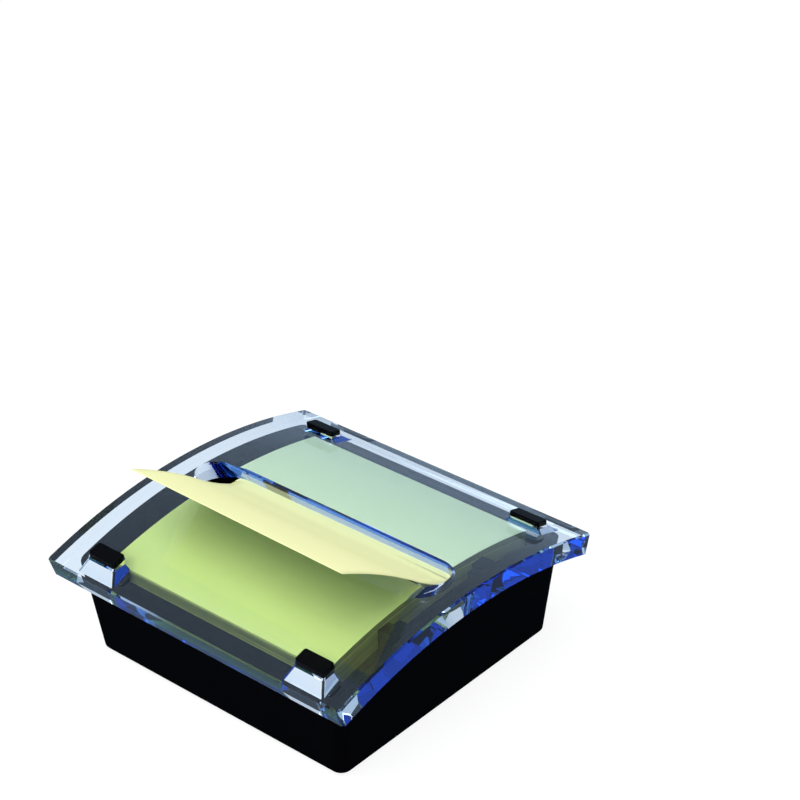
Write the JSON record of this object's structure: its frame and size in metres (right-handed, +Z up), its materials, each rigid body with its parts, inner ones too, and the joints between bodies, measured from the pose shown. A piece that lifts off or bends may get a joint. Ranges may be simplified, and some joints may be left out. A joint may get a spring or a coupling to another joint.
{
  "type": "pop-up note holder",
  "caption": "Weighted black desk box with a clear arched lid on corner posts; a sprung plate presses a square note pad up to the lid's long slot.",
  "frame": {"origin": "on the desk under the middle of the box", "axes": "+Z up, +Y along the lid's slot, +X across it, the way the arch runs"},
  "size_m": [0.0986, 0.1034, 0.0538],
  "materials": {
    "clear_acrylic": "polished clear acrylic with a blue tint in its edges",
    "black_plastic": "satin moulded black",
    "black_rubber": "smooth black rubber",
    "steel": "zinc plated steel",
    "pad_paper": "uncoated pale green-yellow note paper",
    "note_paper": "uncoated pale yellow note paper"
  },
  "bodies": {
    "base": {"base_shell": "black_plastic", "bottom_cover": "black_plastic", "ballast_plate": "steel", "cover_screws": "steel", "lid_post_front_left": "black_rubber", "lid_post_front_right": "black_rubber", "lid_post_rear_left": "black_rubber", "lid_post_rear_right": "black_rubber", "plate_spring_front_left": "steel", "plate_spring_front_right": "steel", "plate_spring_rear_left": "steel", "plate_spring_rear_right": "steel", "foot_front_left": "black_rubber", "foot_front_right": "black_rubber", "foot_rear_left": "black_rubber", "foot_rear_right": "black_rubber"},
    "lid_body": {"lid": "clear_acrylic"},
    "plate_body": {"pusher_plate": "black_plastic", "note_pad": "pad_paper", "top_sheet": "note_paper"},
    "note_body": {"popped_note": "note_paper"}
  },
  "joints": [
    {"name": "lid_lift", "type": "slide", "parent": "base", "child": "lid_body", "axis": [0, 0, 1], "range_m": [0, 0.03]},
    {"name": "pusher_press", "type": "slide", "parent": "base", "child": "plate_body", "axis": [0, 0, 1], "range_m": [-0.004, 0], "stiffness_N_per_m": 400, "springref_m": 0.01, "deforming": ["plate_spring_front_left", "plate_spring_front_right", "plate_spring_rear_left", "plate_spring_rear_right"]},
    {"name": "note_pull", "type": "slide", "parent": "lid_body", "child": "note_body", "axis": [-0.848, 0, 0.5299], "range_m": [0, 0.04]}
  ]
}
